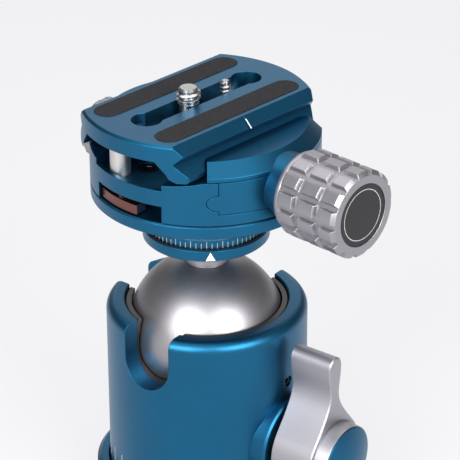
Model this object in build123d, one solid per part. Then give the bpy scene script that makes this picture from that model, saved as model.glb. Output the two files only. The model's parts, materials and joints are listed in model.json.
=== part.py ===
from build123d import *

import os
from math import asin, cos, degrees, radians, sin, sqrt, tan

# Tripod ball head with a panning base, a lever lock and a round panning quick-release clamp.
# Millimetres, +Z up. The origin is the middle of the base's underside, on the tripod thread.
# +X runs along the dovetail plate, and the clamp's big knob points along -Y.
# The housing stands turned by housing_turn about Z: its pieces are drawn with the lever
# along -Y and are turned into place when they are written.

# ---------------------------------------------------------------------------- fits
running = 0.05          # radial clearance of a shaft in its bore
slip = 0.1              # clearance between sliding faces
socket_gap = 0.15       # ball to its seats
free_gap = 0.5          # parts that pass each other without touching

# ---------------------------------------------------------------------------- panning base
housing_turn = 7.0
base_floor = 5.0
base_rim_wall = 3.1
base_edge = 1.2
hub_radius = 15.0
hub_height = 11.8       # hub above the base's floor
hub_groove_depth = 1.6
hub_groove_width = 5.0
hub_groove_land = 1.7   # hub left above its groove
thread_radius = 4.7625  # 3/8 inch tripod thread, major radius
bush_radius = 7.5
bush_length = 10.0
pan_washer_thickness = 0.5
pan_washer_margin = 1.4
retaining_screw_radius = 2.0
retaining_screw_angles = (165.0, -45.0)
pan_lock_angle = 45.0
pan_lock_screw_radius = 2.5
pan_lock_pad_length = 5.0
pan_knob_radius = 8.0
pan_knob_length = 8.0
pan_knob_standoff = 0.8
pan_knob_flutes = 10

# ---------------------------------------------------------------------------- ball and housing
ball_radius = 21.2
ball_clearance = 8.3    # ball's underside above the chamber's floor
stem_radius = 5.85
stem_length = 6.6       # stem between the ball's surface and the flange
chamber_base = 1.7      # chamber's floor above the hub's ceiling
housing_wall = 4.95
rim_rise = 8.9          # rim above the ball's middle
rim_round = 2.7
rim_inner_chamfer = 0.3
notch_gap = 1.35        # stem to the side of its drop notch
notch_angles = (180.0, 90.0, 0.0)
seat_wall = 0.6
seat_depth = 10.0       # seat sleeve below the ball's middle
seat_rise = 8.2         # and above it
seat_lip = 1.2          # sleeve's mouth closes over the ball by this much
seat_chamfer = 0.45
seat_lands = 12         # straight lands around the ball, from pole to pole
seat_screw_drop = 8.1
seat_screw_radius = 1.5
cup_drop = 12.0         # cup's edge below the ball's middle
cup_clearance = 5.2     # cup's underside above the chamber's floor

# ---------------------------------------------------------------------------- ball lock
lever_rise = 3.5        # lever's axis above the chamber's floor
boss_radius = 13.0
boss_reach = 1.6
boss_edge = 0.5
lock_screw_radius = 4.0
lock_screw_relief = 0.8  # screw's end below the lever's cap
wedge_thread_radius = 2.0
wedge_thread_depth = 7.0
wedge_width = 14.0
wedge_reach = 9.0
wedge_low = 5.1
wedge_high = 8.0
wedge_stroke = 0.42
thrust_washer_radius = 8.5
thrust_washer_thickness = 1.2
lever_thickness = 12.4
lever_hub_radius = 11.4
lever_foot_angle = 52.0
lever_length = 30.1
lever_tip_radius = 2.7
lever_waist = 3.7
lever_waist_reach = 19.0
lever_nose_radius = 10.3
lever_nose_length = 3.9
lever_cap_radius = 9.7
lever_cap_bulge = 1.9
lever_cap_seat = 1.2

# ---------------------------------------------------------------------------- flange and pan joint
flange_thickness = 3.4
flange_radius = 16.8
flange_edge = 0.4
spindle_radius = 10.0
stem_screw_radius = 3.0
stem_screw_depth = 12.0
stem_screw_head_radius = 5.6
dial_radius = 16.0
dial_height = 9.8
disc_radius = 30.1
disc_thickness = 3.7
disc_edge = 0.4
spindle_washer_thickness = 0.3
retainer_lip = 2.5      # retainer beyond the spindle
retainer_thickness = 2.8

# ---------------------------------------------------------------------------- clamp
pad_rise = 12.1         # plate pads above the disc
jaw_rise = 4.5          # jaws above the pads
jaw_chamfer = 3.3
parting_groove = 0.3
floor_half_width = 11.8
floor_depth = 4.0       # channel's floor below the pads
floor_reach = 12.0
floor_rim_rise = 1.0
floor_rim_wall = 1.3
ramp_drop = 2.3
ramp_length = 7.5
window_front = -11.75
window_back = 10.5
window_rise = 4.8
window_depth = 8.6
clamp_screw_drop = 4.9  # clamp screw's axis below the pads
clamp_screw_radius = 3.0
clamp_screw_reach = 15.0
body_screw_place = 19.1
body_screw_angle = 174.3
body_screw_radius = 1.5
body_screw_head_radius = 2.9
body_screw_head_height = 2.4
body_screw_grip = 3.0

# ---------------------------------------------------------------------------- moving jaw
jaw_half_width = 18.9
jaw_drop = 8.7          # jaw's foot below the pads
jaw_inner = -15.2
jaw_cut_angle = 44.6
rail_rise = 3.0
rail_place = 19.1
rail_radius = 2.1
jaw_boss_radius = 8.5
jaw_boss_reach = 3.4
knob_washer_thickness = 1.8
knob_washer_radius = 6.5

# ---------------------------------------------------------------------------- clamp knob
knob_radius = 11.5
knob_length = 19.05
knob_groove_places = (6.2, 13.2)
knob_pads_around = 14
knob_groove_width = 1.1
knob_groove_bevel = 0.5
knob_groove_depth = 1.1
knob_nose_length = 0.8
knob_nose_radius = 10.4
knob_edge = 0.8
end_disc_radius = 8.3
end_disc_thickness = 0.8
end_disc_recess = 0.2
knob_web = 2.0          # metal between the end disc and the screw's end

# ---------------------------------------------------------------------------- clamp pan lock
clamp_pan_screw_radius = 1.5
clamp_pan_knob_radius = 8.4
clamp_pan_knob_length = 7.5
clamp_pan_knob_standoff = 1.9
clamp_pan_knob_flutes = 12
clamp_pan_pad_length = 4.0

# ---------------------------------------------------------------------------- safety latch
pin_radius = 2.7
pin_inset = 4.5         # pin's axis inside the disc's edge
pin_offset = 5.0
pin_entry = 1.2         # pin's top inside the plate's groove
pin_shank_radius = 0.8
pin_shoulder_rise = 0.6
latch_inset = 0.9
latch_thickness = 3.8
latch_rise = 0.4
latch_height = 2.55
latch_end_gap = 0.27    # latch's end to the window's back wall
latch_reach = 4.06      # latch's other end in front of the middle
latch_travel = 1.0
latch_ramp_height = 1.5
latch_ramp_angle = 60.0
latch_tongue_width = 7.0
latch_tongue_length = 2.5

# ---------------------------------------------------------------------------- dovetail plate
plate_shift = -2.8
plate_radius = 30.0
plate_gap = 0.8         # plate's underside above the pads
plate_tail_half = 19.5
plate_tail_rise = 1.6
plate_flank = 3.3       # depth of the 45 degree dovetail flank
plate_overhang = 2.3    # edge out over the neck
plate_edge_land = 0.1
plate_bevel = 2.6
plate_edge_break = 0.5
plate_lip_width = 2.5
plate_cove = 4.9
plate_web = 4.6
plate_end_chamfer = 0.6
slot_half_width = 3.15
slot_eye_place = 18.1
slot_eye_radius = 4.0
strip_margin = 1.4
strip_width = 7.0
strip_half_length = 24.5
strip_depth = 1.0
strip_proud = 0.15
strip_gap = 0.1
pin_groove_side = 0.85  # groove's wall beside the pin
pin_groove_depth = 2.0
plate_travel_out = 2.65
plate_travel_in = 4.15
index_width = 0.5
index_depth = 0.2
index_margin = 0.3

# ---------------------------------------------------------------------------- camera screw
camera_screw_place = -6.0
camera_screw_radius = 3.12
camera_screw_stand = 4.2
camera_screw_thread = 4.4
camera_screw_chamfer = 0.5
camera_screw_neck_radius = 2.4
camera_screw_head_radius = 7.5
camera_screw_head_height = 2.6
camera_washer_thickness = 0.4
camera_washer_radius = 6.6
coin_slot_width = 1.4
coin_slot_depth = 1.2
stud_place = 7.5
stud_radius = 1.4
stud_stand = 1.8
stud_head_radius = 3.4
stud_head_height = 1.6

# ---------------------------------------------------------------------------- stack of radii
ball_room = ball_radius + socket_gap
chamber_radius = ball_room + seat_wall
housing_radius = chamber_radius + housing_wall
recess_radius = housing_radius + free_gap
base_radius = recess_radius + base_rim_wall
notch_width = 2 * (stem_radius + notch_gap)
seat_mouth = ball_room - seat_lip
boss_face = housing_radius + boss_reach
lever_back = boss_face + thrust_washer_thickness
lever_front = lever_back + lever_thickness
lever_face = lever_front + lever_nose_length
retainer_radius = spindle_radius + retainer_lip
pan_knob_back = base_radius + pan_knob_standoff
jaw_boss_face = disc_radius + jaw_boss_reach
knob_back = jaw_boss_face + knob_washer_thickness
knob_face = knob_back + knob_length
end_disc_face = knob_face - end_disc_recess
clamp_pan_knob_back = disc_radius + clamp_pan_knob_standoff
latch_face = disc_radius - latch_inset
latch_start = 180 - degrees(asin((window_back - latch_end_gap) / latch_face))
latch_end = 180 + degrees(asin(latch_reach / latch_face))
pin_place = (pin_inset - disc_radius, pin_offset)
plate_neck_half = plate_tail_half - plate_flank
plate_edge_half = plate_neck_half + plate_overhang
plate_top_half = plate_edge_half - plate_bevel
strip_place = plate_top_half - strip_margin - strip_width / 2

# ---------------------------------------------------------------------------- stack of heights
housing_bottom = base_floor + pan_washer_thickness
hub_top = base_floor + hub_height
hub_groove_middle = hub_top - hub_groove_land - hub_groove_width / 2
chamber_floor = hub_top + free_gap + chamber_base
lever_height = chamber_floor + lever_rise
base_height = lever_height - boss_radius - free_gap
wedge_low_height = chamber_floor + wedge_low
wedge_high_height = chamber_floor + wedge_high
cup_bottom = chamber_floor + cup_clearance
ball_height = chamber_floor + ball_clearance + ball_radius
housing_top = ball_height + rim_rise
seat_bottom = ball_height - seat_depth
seat_top = ball_height + seat_rise
seat_screw_height = ball_height - seat_screw_drop
cup_top = ball_height - cup_drop
flange_bottom = ball_height + ball_radius + stem_length
flange_top = flange_bottom + flange_thickness
disc_bottom = flange_top + dial_height
disc_top = disc_bottom + disc_thickness
spindle_top = disc_top + spindle_washer_thickness
retainer_top = spindle_top + retainer_thickness
clamp_pan_height = disc_top + clamp_pan_screw_radius + slip
latch_bottom = disc_top + latch_rise
window_top = disc_top + window_rise
pin_shoulder = window_top + pin_shoulder_rise
pad_height = disc_top + pad_rise
floor_height = pad_height - floor_depth
floor_rim_height = floor_height + floor_rim_rise
clamp_screw_height = pad_height - clamp_screw_drop
jaw_foot = pad_height - jaw_drop
rail_height = jaw_foot + rail_rise
jaw_top = pad_height + jaw_rise
plate_bottom = pad_height + plate_gap
plate_tail_height = plate_bottom + plate_tail_rise
plate_neck_height = plate_tail_height + plate_flank
plate_edge_height = plate_neck_height + plate_overhang
plate_top = plate_edge_height + plate_edge_land + plate_bevel
web_bottom = plate_top - plate_web
pin_top = web_bottom + pin_entry
camera_screw_top = plate_top + camera_screw_stand
stud_top = plate_top + stud_stand

TOP = (Align.CENTER, Align.CENTER, Align.MIN)


# ---------------------------------------------------------------------------- helpers
def post(radius, bottom, top, place=(0.0, 0.0)):
    """Upright cylinder between two heights."""
    return Pos(place[0], place[1], bottom) * Cylinder(radius, top - bottom, align=TOP)


def tube(outer, inner, bottom, top):
    """Upright ring between two heights."""
    return post(outer, bottom, top) - post(inner, bottom - 1, top + 1)


def facing(shape, height, angle=-90.0):
    """Turn a shape drawn along +Z so that it points outwards from the vertical axis at a height."""
    return Rot(0, 0, angle + 90) * Pos(0, 0, height) * Rot(90, 0, 0) * shape


def bar(radius, near, far, height, angle=-90.0):
    """Level cylinder running outwards from the vertical axis."""
    return facing(post(radius, near, far), height, angle)


def turned(*outline):
    """Solid of revolution about Z from (radius, height) corners."""
    return revolve(make_face(Plane.XZ * Polyline(*outline, close=True)), Axis.Z)


def along_x(outline, near, far):
    """Prism of a (y, z) outline between two places along X."""
    face = make_face(Plane.YZ * Polyline(*outline, close=True))
    return Pos(near, 0, 0) * extrude(face, far - near, dir=(1, 0, 0))


def along_y(outline, near, far):
    """Prism of an (x, z) outline between two places along Y."""
    face = make_face(Plane.XZ * Polyline(*outline, close=True))
    return Pos(0, near, 0) * extrude(face, far - near, dir=(0, 1, 0))


def block(x0, x1, y0, y1, z0, z1):
    """Box between two corners."""
    return Pos(x0, y0, z0) * Box(x1 - x0, y1 - y0, z1 - z0, align=(Align.MIN, Align.MIN, Align.MIN))


def polar(radius, angle):
    """Place at a radius and an angle in degrees."""
    return (radius * cos(radians(angle)), radius * sin(radians(angle)))


def chord(radius, offset):
    """Half the length of a circle's chord at an offset from its middle."""
    return sqrt(radius * radius - offset * offset)


def edges_at(shape, height, radius):
    """Round edges of a shape that lie level at a height and have a radius."""
    level = shape.edges().filter_by(GeomType.CIRCLE)
    return [
        edge for edge in level
        if abs(edge.center().Z - height) < 0.01 and abs(edge.radius - radius) < 0.01
    ]


def fluted(radius, length, edge, flutes, flute_radius, flute_depth):
    """Round knob body drawn along +Z with scalloped grip flutes."""
    body = turned((0, 0), (radius - edge, 0), (radius, edge), (radius, length - edge),
                  (radius - edge, length), (0, length))
    cutter = post(flute_radius, -1, length + 1, (radius + flute_radius - flute_depth, 0))
    for index in range(flutes):
        body -= Rot(0, 0, 360 * index / flutes) * cutter
    return body


def hex_socket(across, depth, face):
    """Hexagon socket cutter sunk into a face at a height, drawn along +Z."""
    return Pos(0, 0, face - depth) * extrude(RegularPolygon(across / sqrt(3), 6), depth + 1)


def ball_envelope():
    """Room for the ball, turned from straight lands that each touch the sphere of its clearance."""
    step = 180 / seat_lands
    reach = ball_room / cos(radians(step / 2))
    corners = []
    for index in range(seat_lands):
        angle = radians(step * (index + 0.5) - 90)
        corners.append((reach * cos(angle), ball_height + reach * sin(angle)))
    return turned((0, ball_height - ball_room), *corners, (0, ball_height + ball_room))


def notch_cutter():
    """U-shaped drop notches, drawn outwards from the ball's middle."""
    half = notch_width / 2
    reach = housing_radius + free_gap
    cutter = None
    for angle in notch_angles:
        channel = block(stem_radius, reach, -half, half, ball_height, housing_top + 1)
        bottom = Rot(0, 90, 0) * Cylinder(half, reach - stem_radius, align=TOP)
        channel += Pos(stem_radius, 0, ball_height) * bottom
        channel = Rot(0, 0, angle) * channel
        cutter = channel if cutter is None else cutter + channel
    return cutter


# ---------------------------------------------------------------------------- panning base
def base_plate():
    """Round foot with a raised rim and the grooved hub that the housing turns on."""
    groove_low = hub_groove_middle - hub_groove_width / 2
    groove_high = hub_groove_middle + hub_groove_width / 2
    groove_radius = hub_radius - hub_groove_depth
    return turned(
        (bush_radius, 0), (base_radius - base_edge / 2, 0), (base_radius, base_edge / 2),
        (base_radius, base_height - base_edge), (base_radius - base_edge, base_height),
        (recess_radius, base_height), (recess_radius, base_floor), (hub_radius, base_floor),
        (hub_radius, groove_low), (groove_radius, groove_low + hub_groove_depth),
        (groove_radius, groove_high - hub_groove_depth), (hub_radius, groove_high),
        (hub_radius, hub_top), (0, hub_top), (0, bush_length), (bush_radius, bush_length))


def tripod_thread_bush():
    """Steel bush with the 3/8 inch tripod thread."""
    return tube(bush_radius, thread_radius, 0, bush_length)


def pan_bearing_washer():
    """Thin plastic washer that the housing turns on."""
    return tube(housing_radius - pan_washer_margin, hub_radius + pan_washer_margin,
                base_floor, housing_bottom)


def cone_ended(radius, near, far):
    """Pin drawn along +Z whose 45 degree cone end fits the hub's groove."""
    return turned((0, near), (radius - hub_groove_depth, near), (radius, near + hub_groove_depth),
                  (radius, far), (0, far))


def retaining_screw(angle):
    """Grub screw whose tip rides in the hub's groove and holds the housing down."""
    tip = hub_radius - hub_groove_depth + slip
    tail = housing_radius - free_gap
    screw = cone_ended(retaining_screw_radius, tip, tail)
    screw -= hex_socket(retaining_screw_radius, retaining_screw_radius, tail)
    return facing(screw, hub_groove_middle, angle)


def pan_lock_pad():
    """Brass brake pad pressed into the hub's groove."""
    tip = hub_radius - hub_groove_depth + slip
    pad = cone_ended(pan_lock_screw_radius, tip, tip + pan_lock_pad_length)
    return facing(pad, hub_groove_middle, pan_lock_angle)


def pan_lock_screw():
    """Threaded stud between the brake pad and its knob."""
    inner = hub_radius - hub_groove_depth + slip + pan_lock_pad_length
    outer = pan_knob_back + pan_knob_length * 0.7
    return bar(pan_lock_screw_radius, inner, outer, hub_groove_middle, pan_lock_angle)


def pan_lock_knob():
    """Small fluted knob that locks the panning base."""
    knob = fluted(pan_knob_radius, pan_knob_length, knob_edge, pan_knob_flutes, 1.6, 0.7)
    knob -= post(pan_lock_screw_radius, -1, pan_knob_length * 0.7)
    return facing(Pos(0, 0, pan_knob_back) * knob, hub_groove_middle, pan_lock_angle)


# ---------------------------------------------------------------------------- housing
def housing():
    """Bored housing with a rounded rim, drop notches and the lock screw's boss."""
    ceiling = hub_top + free_gap
    body = turned(
        (hub_radius + running, housing_bottom), (housing_radius, housing_bottom),
        (housing_radius, housing_top), (chamber_radius + rim_inner_chamfer, housing_top),
        (chamber_radius, housing_top - rim_inner_chamfer), (chamber_radius, chamber_floor),
        (0, chamber_floor), (0, ceiling), (hub_radius + running, ceiling))
    body = fillet(edges_at(body, housing_top, housing_radius), rim_round)
    root = chamber_radius + free_gap
    boss = facing(turned((0, root), (boss_radius, root), (boss_radius, boss_face - boss_edge),
                         (boss_radius - boss_edge, boss_face), (0, boss_face)), lever_height)
    body += boss - post(root, 0, housing_top)
    body -= bar(lock_screw_radius + running, lock_screw_radius, boss_face + 1, lever_height)
    body -= notch_cutter()
    body -= bar(seat_screw_radius + running, chamber_radius - 1, housing_radius + 1, seat_screw_height)
    for angle in retaining_screw_angles:
        body -= bar(retaining_screw_radius + running, hub_radius - 1, housing_radius + 1,
                    hub_groove_middle, angle)
    body -= bar(pan_lock_screw_radius + running, hub_radius - 1, housing_radius + 1,
                hub_groove_middle, pan_lock_angle)
    return body


def upper_seat_ring():
    """Plastic seat sleeve around the ball, cut by the same notches."""
    outer = chamber_radius - running
    ring = tube(outer, stem_radius, seat_bottom, seat_top)
    ring = chamfer(edges_at(ring, seat_top, outer), seat_chamfer)
    ring -= ball_envelope()
    ring -= post(seat_mouth, ball_height, seat_top + 1)
    return ring - notch_cutter()


def seat_set_screw():
    """Grub screw that holds the seat sleeve."""
    near = chamber_radius
    far = housing_radius - free_gap
    screw = post(seat_screw_radius, near, far) - hex_socket(seat_screw_radius, seat_screw_radius, far)
    return facing(screw, seat_screw_height)


def wedge_outline(gap=0.0):
    """Side view of the lock wedge: a low block whose top rises towards the lever."""
    return ((-wedge_reach - gap, chamber_floor), (wedge_reach + gap, chamber_floor),
            (wedge_reach + gap, wedge_low_height + gap), (-wedge_reach - gap, wedge_high_height + gap))


def lower_cup():
    """Dished cup that carries the ball, channelled underneath for the wedge and its screw."""
    cup = post(chamber_radius - slip, cup_bottom, cup_top) - ball_envelope()
    half = wedge_width / 2 + slip
    cup -= along_x(wedge_outline(slip), -half, half)
    screw_top = lever_height + lock_screw_radius + slip
    cup -= block(-half, half, -chamber_radius, -wedge_reach, cup_bottom - 1,
                 max(screw_top, wedge_high_height + slip))
    return cup


def lock_wedge():
    """Sliding wedge under the cup, threaded on the end of the lock screw."""
    half = wedge_width / 2
    end = wedge_reach - wedge_thread_depth - wedge_stroke - slip
    wedge = along_x(wedge_outline(), -half, half)
    return wedge - bar(wedge_thread_radius + running, end, wedge_reach + 1, lever_height)


def lock_screw():
    """Main lock screw from the wedge's thread to the lever."""
    end = wedge_reach - wedge_thread_depth
    shoulder = wedge_reach + wedge_stroke + slip
    head = lever_face - lever_cap_seat - lock_screw_relief
    screw = turned((0, end), (wedge_thread_radius, end), (wedge_thread_radius, shoulder),
                   (lock_screw_radius, shoulder), (lock_screw_radius, head), (0, head))
    return facing(screw, lever_height)


def lever_thrust_washer():
    """Washer behind the lever's hub."""
    washer = tube(thrust_washer_radius, lock_screw_radius + slip, boss_face, lever_back - slip)
    return facing(washer, lever_height)


def lock_lever():
    """Single-sided paddle lever with concave flanks, a round tip and a stepped hub."""
    tip_reach = lever_length - lever_tip_radius
    slope = radians(lever_foot_angle)
    foot = (lever_hub_radius * sin(slope), lever_hub_radius * cos(slope))
    crown = ThreePointArc((lever_tip_radius, tip_reach), (0, tip_reach + lever_tip_radius),
                          (-lever_tip_radius, tip_reach))
    left = Spline((-lever_tip_radius, tip_reach), (-lever_waist / 2, lever_waist_reach),
                  (-foot[0], foot[1]), tangents=[(0, -1), (-cos(slope), -sin(slope))])
    right = mirror(left, about=Plane.YZ)
    base = Line((-foot[0], foot[1]), (foot[0], foot[1]))
    paddle = make_face(Wire([crown.edge(), left.edge(), base.edge(), right.edge()]))
    outline = paddle + Circle(lever_hub_radius)
    lever = Pos(0, 0, lever_back) * extrude(outline, lever_front - lever_back)
    lever = chamfer(lever.edges().filter_by(GeomType.CIRCLE).group_by(Axis.Z)[-1], 0.3)
    nose = turned((0, lever_front - 1), (lever_nose_radius, lever_front - 1),
                  (lever_nose_radius, lever_front), (lever_cap_radius + 0.3, lever_face), (0, lever_face))
    lever += nose
    lever -= post(lever_cap_radius, lever_face - lever_cap_seat, lever_face + 1)
    lever -= post(lock_screw_radius, 0, lever_face)
    return facing(lever, lever_height)


def lever_cap():
    """Domed cap pressed into the hub's face."""
    rise = lever_cap_bulge
    dome_radius = (lever_cap_radius ** 2 + rise ** 2) / (2 * rise)
    seat = lever_face - lever_cap_seat
    rim = lever_face + 0.2
    disc = post(lever_cap_radius - running, seat, rim + rise)
    disc &= Pos(0, 0, rim + rise - dome_radius) * Sphere(dome_radius)
    return facing(disc, lever_height)


# ---------------------------------------------------------------------------- ball and stem
def ball_and_stem():
    """Ball turned in one piece with its stem."""
    body = Pos(0, 0, ball_height) * Sphere(ball_radius)
    body += post(stem_radius, ball_height, flange_bottom)
    body -= post(stem_screw_radius, flange_bottom - stem_screw_depth, flange_bottom + 1)
    return body


def stem_flange():
    """Flange with the index mark and the spindle that the clamp pans on."""
    flange = turned(
        (stem_screw_radius + running, flange_bottom), (flange_radius - flange_edge, flange_bottom),
        (flange_radius, flange_bottom + flange_edge), (flange_radius, flange_top - flange_edge),
        (flange_radius - flange_edge, flange_top), (spindle_radius, flange_top),
        (spindle_radius, spindle_top), (stem_screw_radius + running, spindle_top))
    return flange


def stem_screw():
    """Countersunk screw that fixes the spindle and its retainer to the stem."""
    head = stem_screw_head_radius
    end = flange_bottom - stem_screw_depth + free_gap
    screw = turned((0, end), (stem_screw_radius, end),
                   (stem_screw_radius, retainer_top - head + stem_screw_radius),
                   (head, retainer_top), (0, retainer_top))
    return screw - hex_socket(stem_screw_radius * 1.3, stem_screw_radius, retainer_top)


def spindle_retainer():
    """Disc on top of the spindle that holds the clamp down and takes its brake pad."""
    head = stem_screw_head_radius + running
    return turned((stem_screw_radius + running, spindle_top), (retainer_radius, spindle_top),
                  (retainer_radius, retainer_top), (head, retainer_top),
                  (stem_screw_radius + running, retainer_top - head + stem_screw_radius + running))


def spindle_washer():
    """Thin bearing washer under the retainer."""
    return tube(retainer_radius, spindle_radius + slip, disc_top, spindle_top)


# ---------------------------------------------------------------------------- clamp
def pan_disc():
    """Graduated neck and round disc under the clamp."""
    disc = turned(
        (spindle_radius + running, flange_top), (dial_radius, flange_top), (dial_radius, disc_bottom),
        (disc_radius - disc_edge, disc_bottom), (disc_radius, disc_bottom + disc_edge),
        (disc_radius, disc_top - disc_edge), (disc_radius - disc_edge, disc_top),
        (spindle_radius + running, disc_top))
    return disc - body_screw_holes(body_screw_radius, disc_top - body_screw_grip)


def body_screw_holes(radius, bottom):
    """Upright cutters for the two screws that join the clamp's body to its disc."""
    holes = post(radius, bottom, plate_top, polar(body_screw_place, body_screw_angle))
    return holes + Rot(0, 0, 180) * holes


def jaw_mass(bottom):
    """Round block with the sloped outer edge that both jaws share."""
    return turned((0, bottom), (disc_radius, bottom), (disc_radius, jaw_top - jaw_chamfer),
                  (disc_radius - jaw_chamfer, jaw_top), (0, jaw_top))


def dovetail_outline(gap, bottom):
    """Right half of the channel that grips the plate, open to -Y."""
    lip = plate_tail_half + gap
    neck = plate_neck_half + gap - (jaw_top + 1 - plate_neck_height)
    return ((-disc_radius - 1, bottom), (lip, bottom), (lip, plate_tail_height), (neck, jaw_top + 1),
            (-disc_radius - 1, jaw_top + 1))


def jaw_rail(gap):
    """End view of the moving jaw's lower part: a body with a round rail on each side."""
    body = Rectangle(2 * (jaw_half_width + gap), pad_height - jaw_foot + gap * 2,
                     align=(Align.CENTER, Align.MIN))
    outline = Pos(0, jaw_foot - gap) * body
    for side in (-1, 1):
        outline += Pos(side * rail_place, rail_height) * Circle(rail_radius + gap)
    return outline


def rail_prism(gap, near, far):
    """The rail outline run along Y between two places."""
    return Pos(0, near, 0) * extrude(Plane.XZ * jaw_rail(gap), far - near, dir=(0, 1, 0))


def clamp_body():
    """Round clamp body with its fixed jaw, plate channel, jaw guides and side window."""
    body = jaw_mass(disc_top)
    body -= tube(disc_radius + 1, disc_radius - 2 * parting_groove, disc_top - 1, disc_top + parting_groove)
    body -= along_x(dovetail_outline(slip, pad_height), -disc_radius - 1, disc_radius + 1)
    body -= rail_prism(slip * 1.5, -disc_radius - 1, jaw_inner + slip)
    floor_end = disc_radius - floor_rim_wall
    for side in (-1, 1):
        near, far = sorted((side * floor_reach, side * (disc_radius + 1)))
        recess = block(near, far, -floor_half_width, floor_half_width, floor_height, pad_height + 1)
        body -= recess - (tube(disc_radius + 2, floor_end, floor_height - 1, floor_rim_height))
        body -= lead_in(side)
    body -= block(-disc_radius - 1, window_depth - disc_radius, window_front, window_back,
                  disc_top - 1, window_top)
    body -= post(retainer_radius + free_gap, disc_top - 1, retainer_top + free_gap / 2)
    body -= bar(clamp_screw_radius + running, -clamp_screw_reach - free_gap, disc_radius, clamp_screw_height)
    body -= bar(clamp_pan_screw_radius + running, retainer_radius, disc_radius + 1, clamp_pan_height, 90)
    body -= body_screw_holes(body_screw_radius + running, disc_top - 1)
    body -= body_screw_holes(body_screw_head_radius + running, floor_height - body_screw_head_height)
    body -= post(pin_radius + running, window_top - 1, pad_height, pin_place)
    return body


def lead_in(side):
    """Cutter that slopes the ends of the plate pads down to guide the plate in."""
    outer = disc_radius + 1
    inner = outer - ramp_length - 2
    slope = ((side * inner, pad_height), (side * outer, pad_height - ramp_drop),
             (side * outer, pad_height + 0.1), (side * inner, pad_height + 0.1))
    return along_y(slope, -disc_radius, plate_tail_half)


def clamp_body_screw(angle):
    """Socket screw in the channel floor."""
    top = floor_height - 0.1
    seat = floor_height - body_screw_head_height
    end = disc_top - body_screw_grip
    screw = turned((0, end), (body_screw_radius, end), (body_screw_radius, seat),
                   (body_screw_head_radius, seat), (body_screw_head_radius, top), (0, top))
    screw -= hex_socket(body_screw_radius * 1.7, body_screw_radius, top)
    return Pos(*polar(body_screw_place, angle)) * screw


# ---------------------------------------------------------------------------- moving jaw
def moving_jaw():
    """Half-moon jaw that hooks over the plate and slides on the body's round rails."""
    outside = disc_radius * 2
    upper = jaw_mass(pad_height + slip * 2) & along_x(
        ((-disc_radius - 1, jaw_foot), (-plate_tail_half - slip, jaw_foot),
         (-plate_tail_half - slip, plate_tail_height),
         (-plate_neck_half - slip + (jaw_top + 1 - plate_neck_height), jaw_top + 1),
         (-disc_radius - 1, jaw_top + 1)), -outside, outside)
    wedge = ((0, 0), polar(outside, -90 - jaw_cut_angle), polar(outside, -90 + jaw_cut_angle))
    sector = extrude(make_face(Polyline(*wedge, close=True)), jaw_top + 1)
    upper &= sector
    lower = rail_prism(0, -disc_radius - 1, jaw_inner) & post(disc_radius, jaw_foot, jaw_top)
    jaw = upper + lower
    root = plate_tail_half + slip
    boss = facing(turned((0, root), (jaw_boss_radius, root), (jaw_boss_radius, jaw_boss_face - 0.4),
                         (jaw_boss_radius - 0.4, jaw_boss_face), (0, jaw_boss_face)), clamp_screw_height)
    jaw += boss - block(-outside, outside, -disc_radius - slip, 0, 0, jaw_foot)
    jaw -= bar(clamp_screw_radius + slip, 0, jaw_boss_face + 1, clamp_screw_height)
    return jaw


def knob_washer():
    """Thrust washer between the jaw's boss and the knob."""
    washer = tube(knob_washer_radius, clamp_screw_radius + slip, jaw_boss_face, knob_back)
    return facing(washer, clamp_screw_height)


def clamp_screw():
    """Clamp screw from the fixed side through the jaw into the knob."""
    return bar(clamp_screw_radius, -clamp_screw_reach, end_disc_face - end_disc_thickness - knob_web,
               clamp_screw_height)


def clamp_knob():
    """Knob with rows of raised grip pads, a tapered nose and a seat for its end disc."""
    grip = knob_length - knob_nose_length
    floor = knob_radius - knob_groove_depth
    outside = knob_radius + knob_groove_depth
    narrow = knob_groove_width / 2
    wide = narrow + 2 * knob_groove_bevel
    body = turned((0, 0), (knob_radius - knob_edge, 0), (knob_radius, knob_edge), (knob_radius, grip),
                  (knob_nose_radius, knob_length), (0, knob_length))
    for middle in knob_groove_places:
        body -= turned((floor, middle - narrow), (floor, middle + narrow),
                       (outside, middle + wide), (outside, middle - wide))
    section = Polyline((floor, -narrow), (outside, -wide), (outside, wide), (floor, narrow), close=True)
    flute = Pos(0, 0, -1) * extrude(make_face(section), knob_length + 2)
    for index in range(knob_pads_around):
        body -= Rot(0, 0, 360 * index / knob_pads_around) * flute
    seat = knob_length - end_disc_recess - end_disc_thickness
    body -= post(end_disc_radius, seat, knob_length + 1)
    body -= post(clamp_screw_radius, -1, seat - knob_web)
    return facing(Pos(0, 0, knob_back) * body, clamp_screw_height)


def clamp_knob_end_disc():
    """Plain disc set into the knob's end."""
    disc = post(end_disc_radius - running, end_disc_face - end_disc_thickness, end_disc_face)
    return facing(disc, clamp_screw_height)


# ---------------------------------------------------------------------------- clamp pan lock
def clamp_pan_pad():
    """Brass pad pressed on the retainer's rim, hollowed to its curve."""
    inner = retainer_radius + slip
    pad = bar(clamp_pan_screw_radius - running, inner - 1, inner + clamp_pan_pad_length,
              clamp_pan_height, 90)
    return pad - post(inner, disc_top, window_top + clamp_pan_screw_radius)


def clamp_pan_screw():
    """Stud between the brake pad and its knob."""
    inner = retainer_radius + slip + clamp_pan_pad_length
    return bar(clamp_pan_screw_radius, inner, clamp_pan_knob_back + clamp_pan_knob_length * 0.7,
               clamp_pan_height, 90)


def clamp_pan_knob():
    """Fluted knob that locks the clamp's panning."""
    collar = clamp_pan_knob_standoff - slip
    knob = fluted(clamp_pan_knob_radius, clamp_pan_knob_length, knob_edge, clamp_pan_knob_flutes, 1.6, 0.7)
    knob += post(clamp_pan_screw_radius * 2, -collar, 1)
    knob -= post(clamp_pan_screw_radius, -collar - 1, clamp_pan_knob_length * 0.7)
    return facing(Pos(0, 0, clamp_pan_knob_back) * knob, clamp_pan_height, 90)


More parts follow.
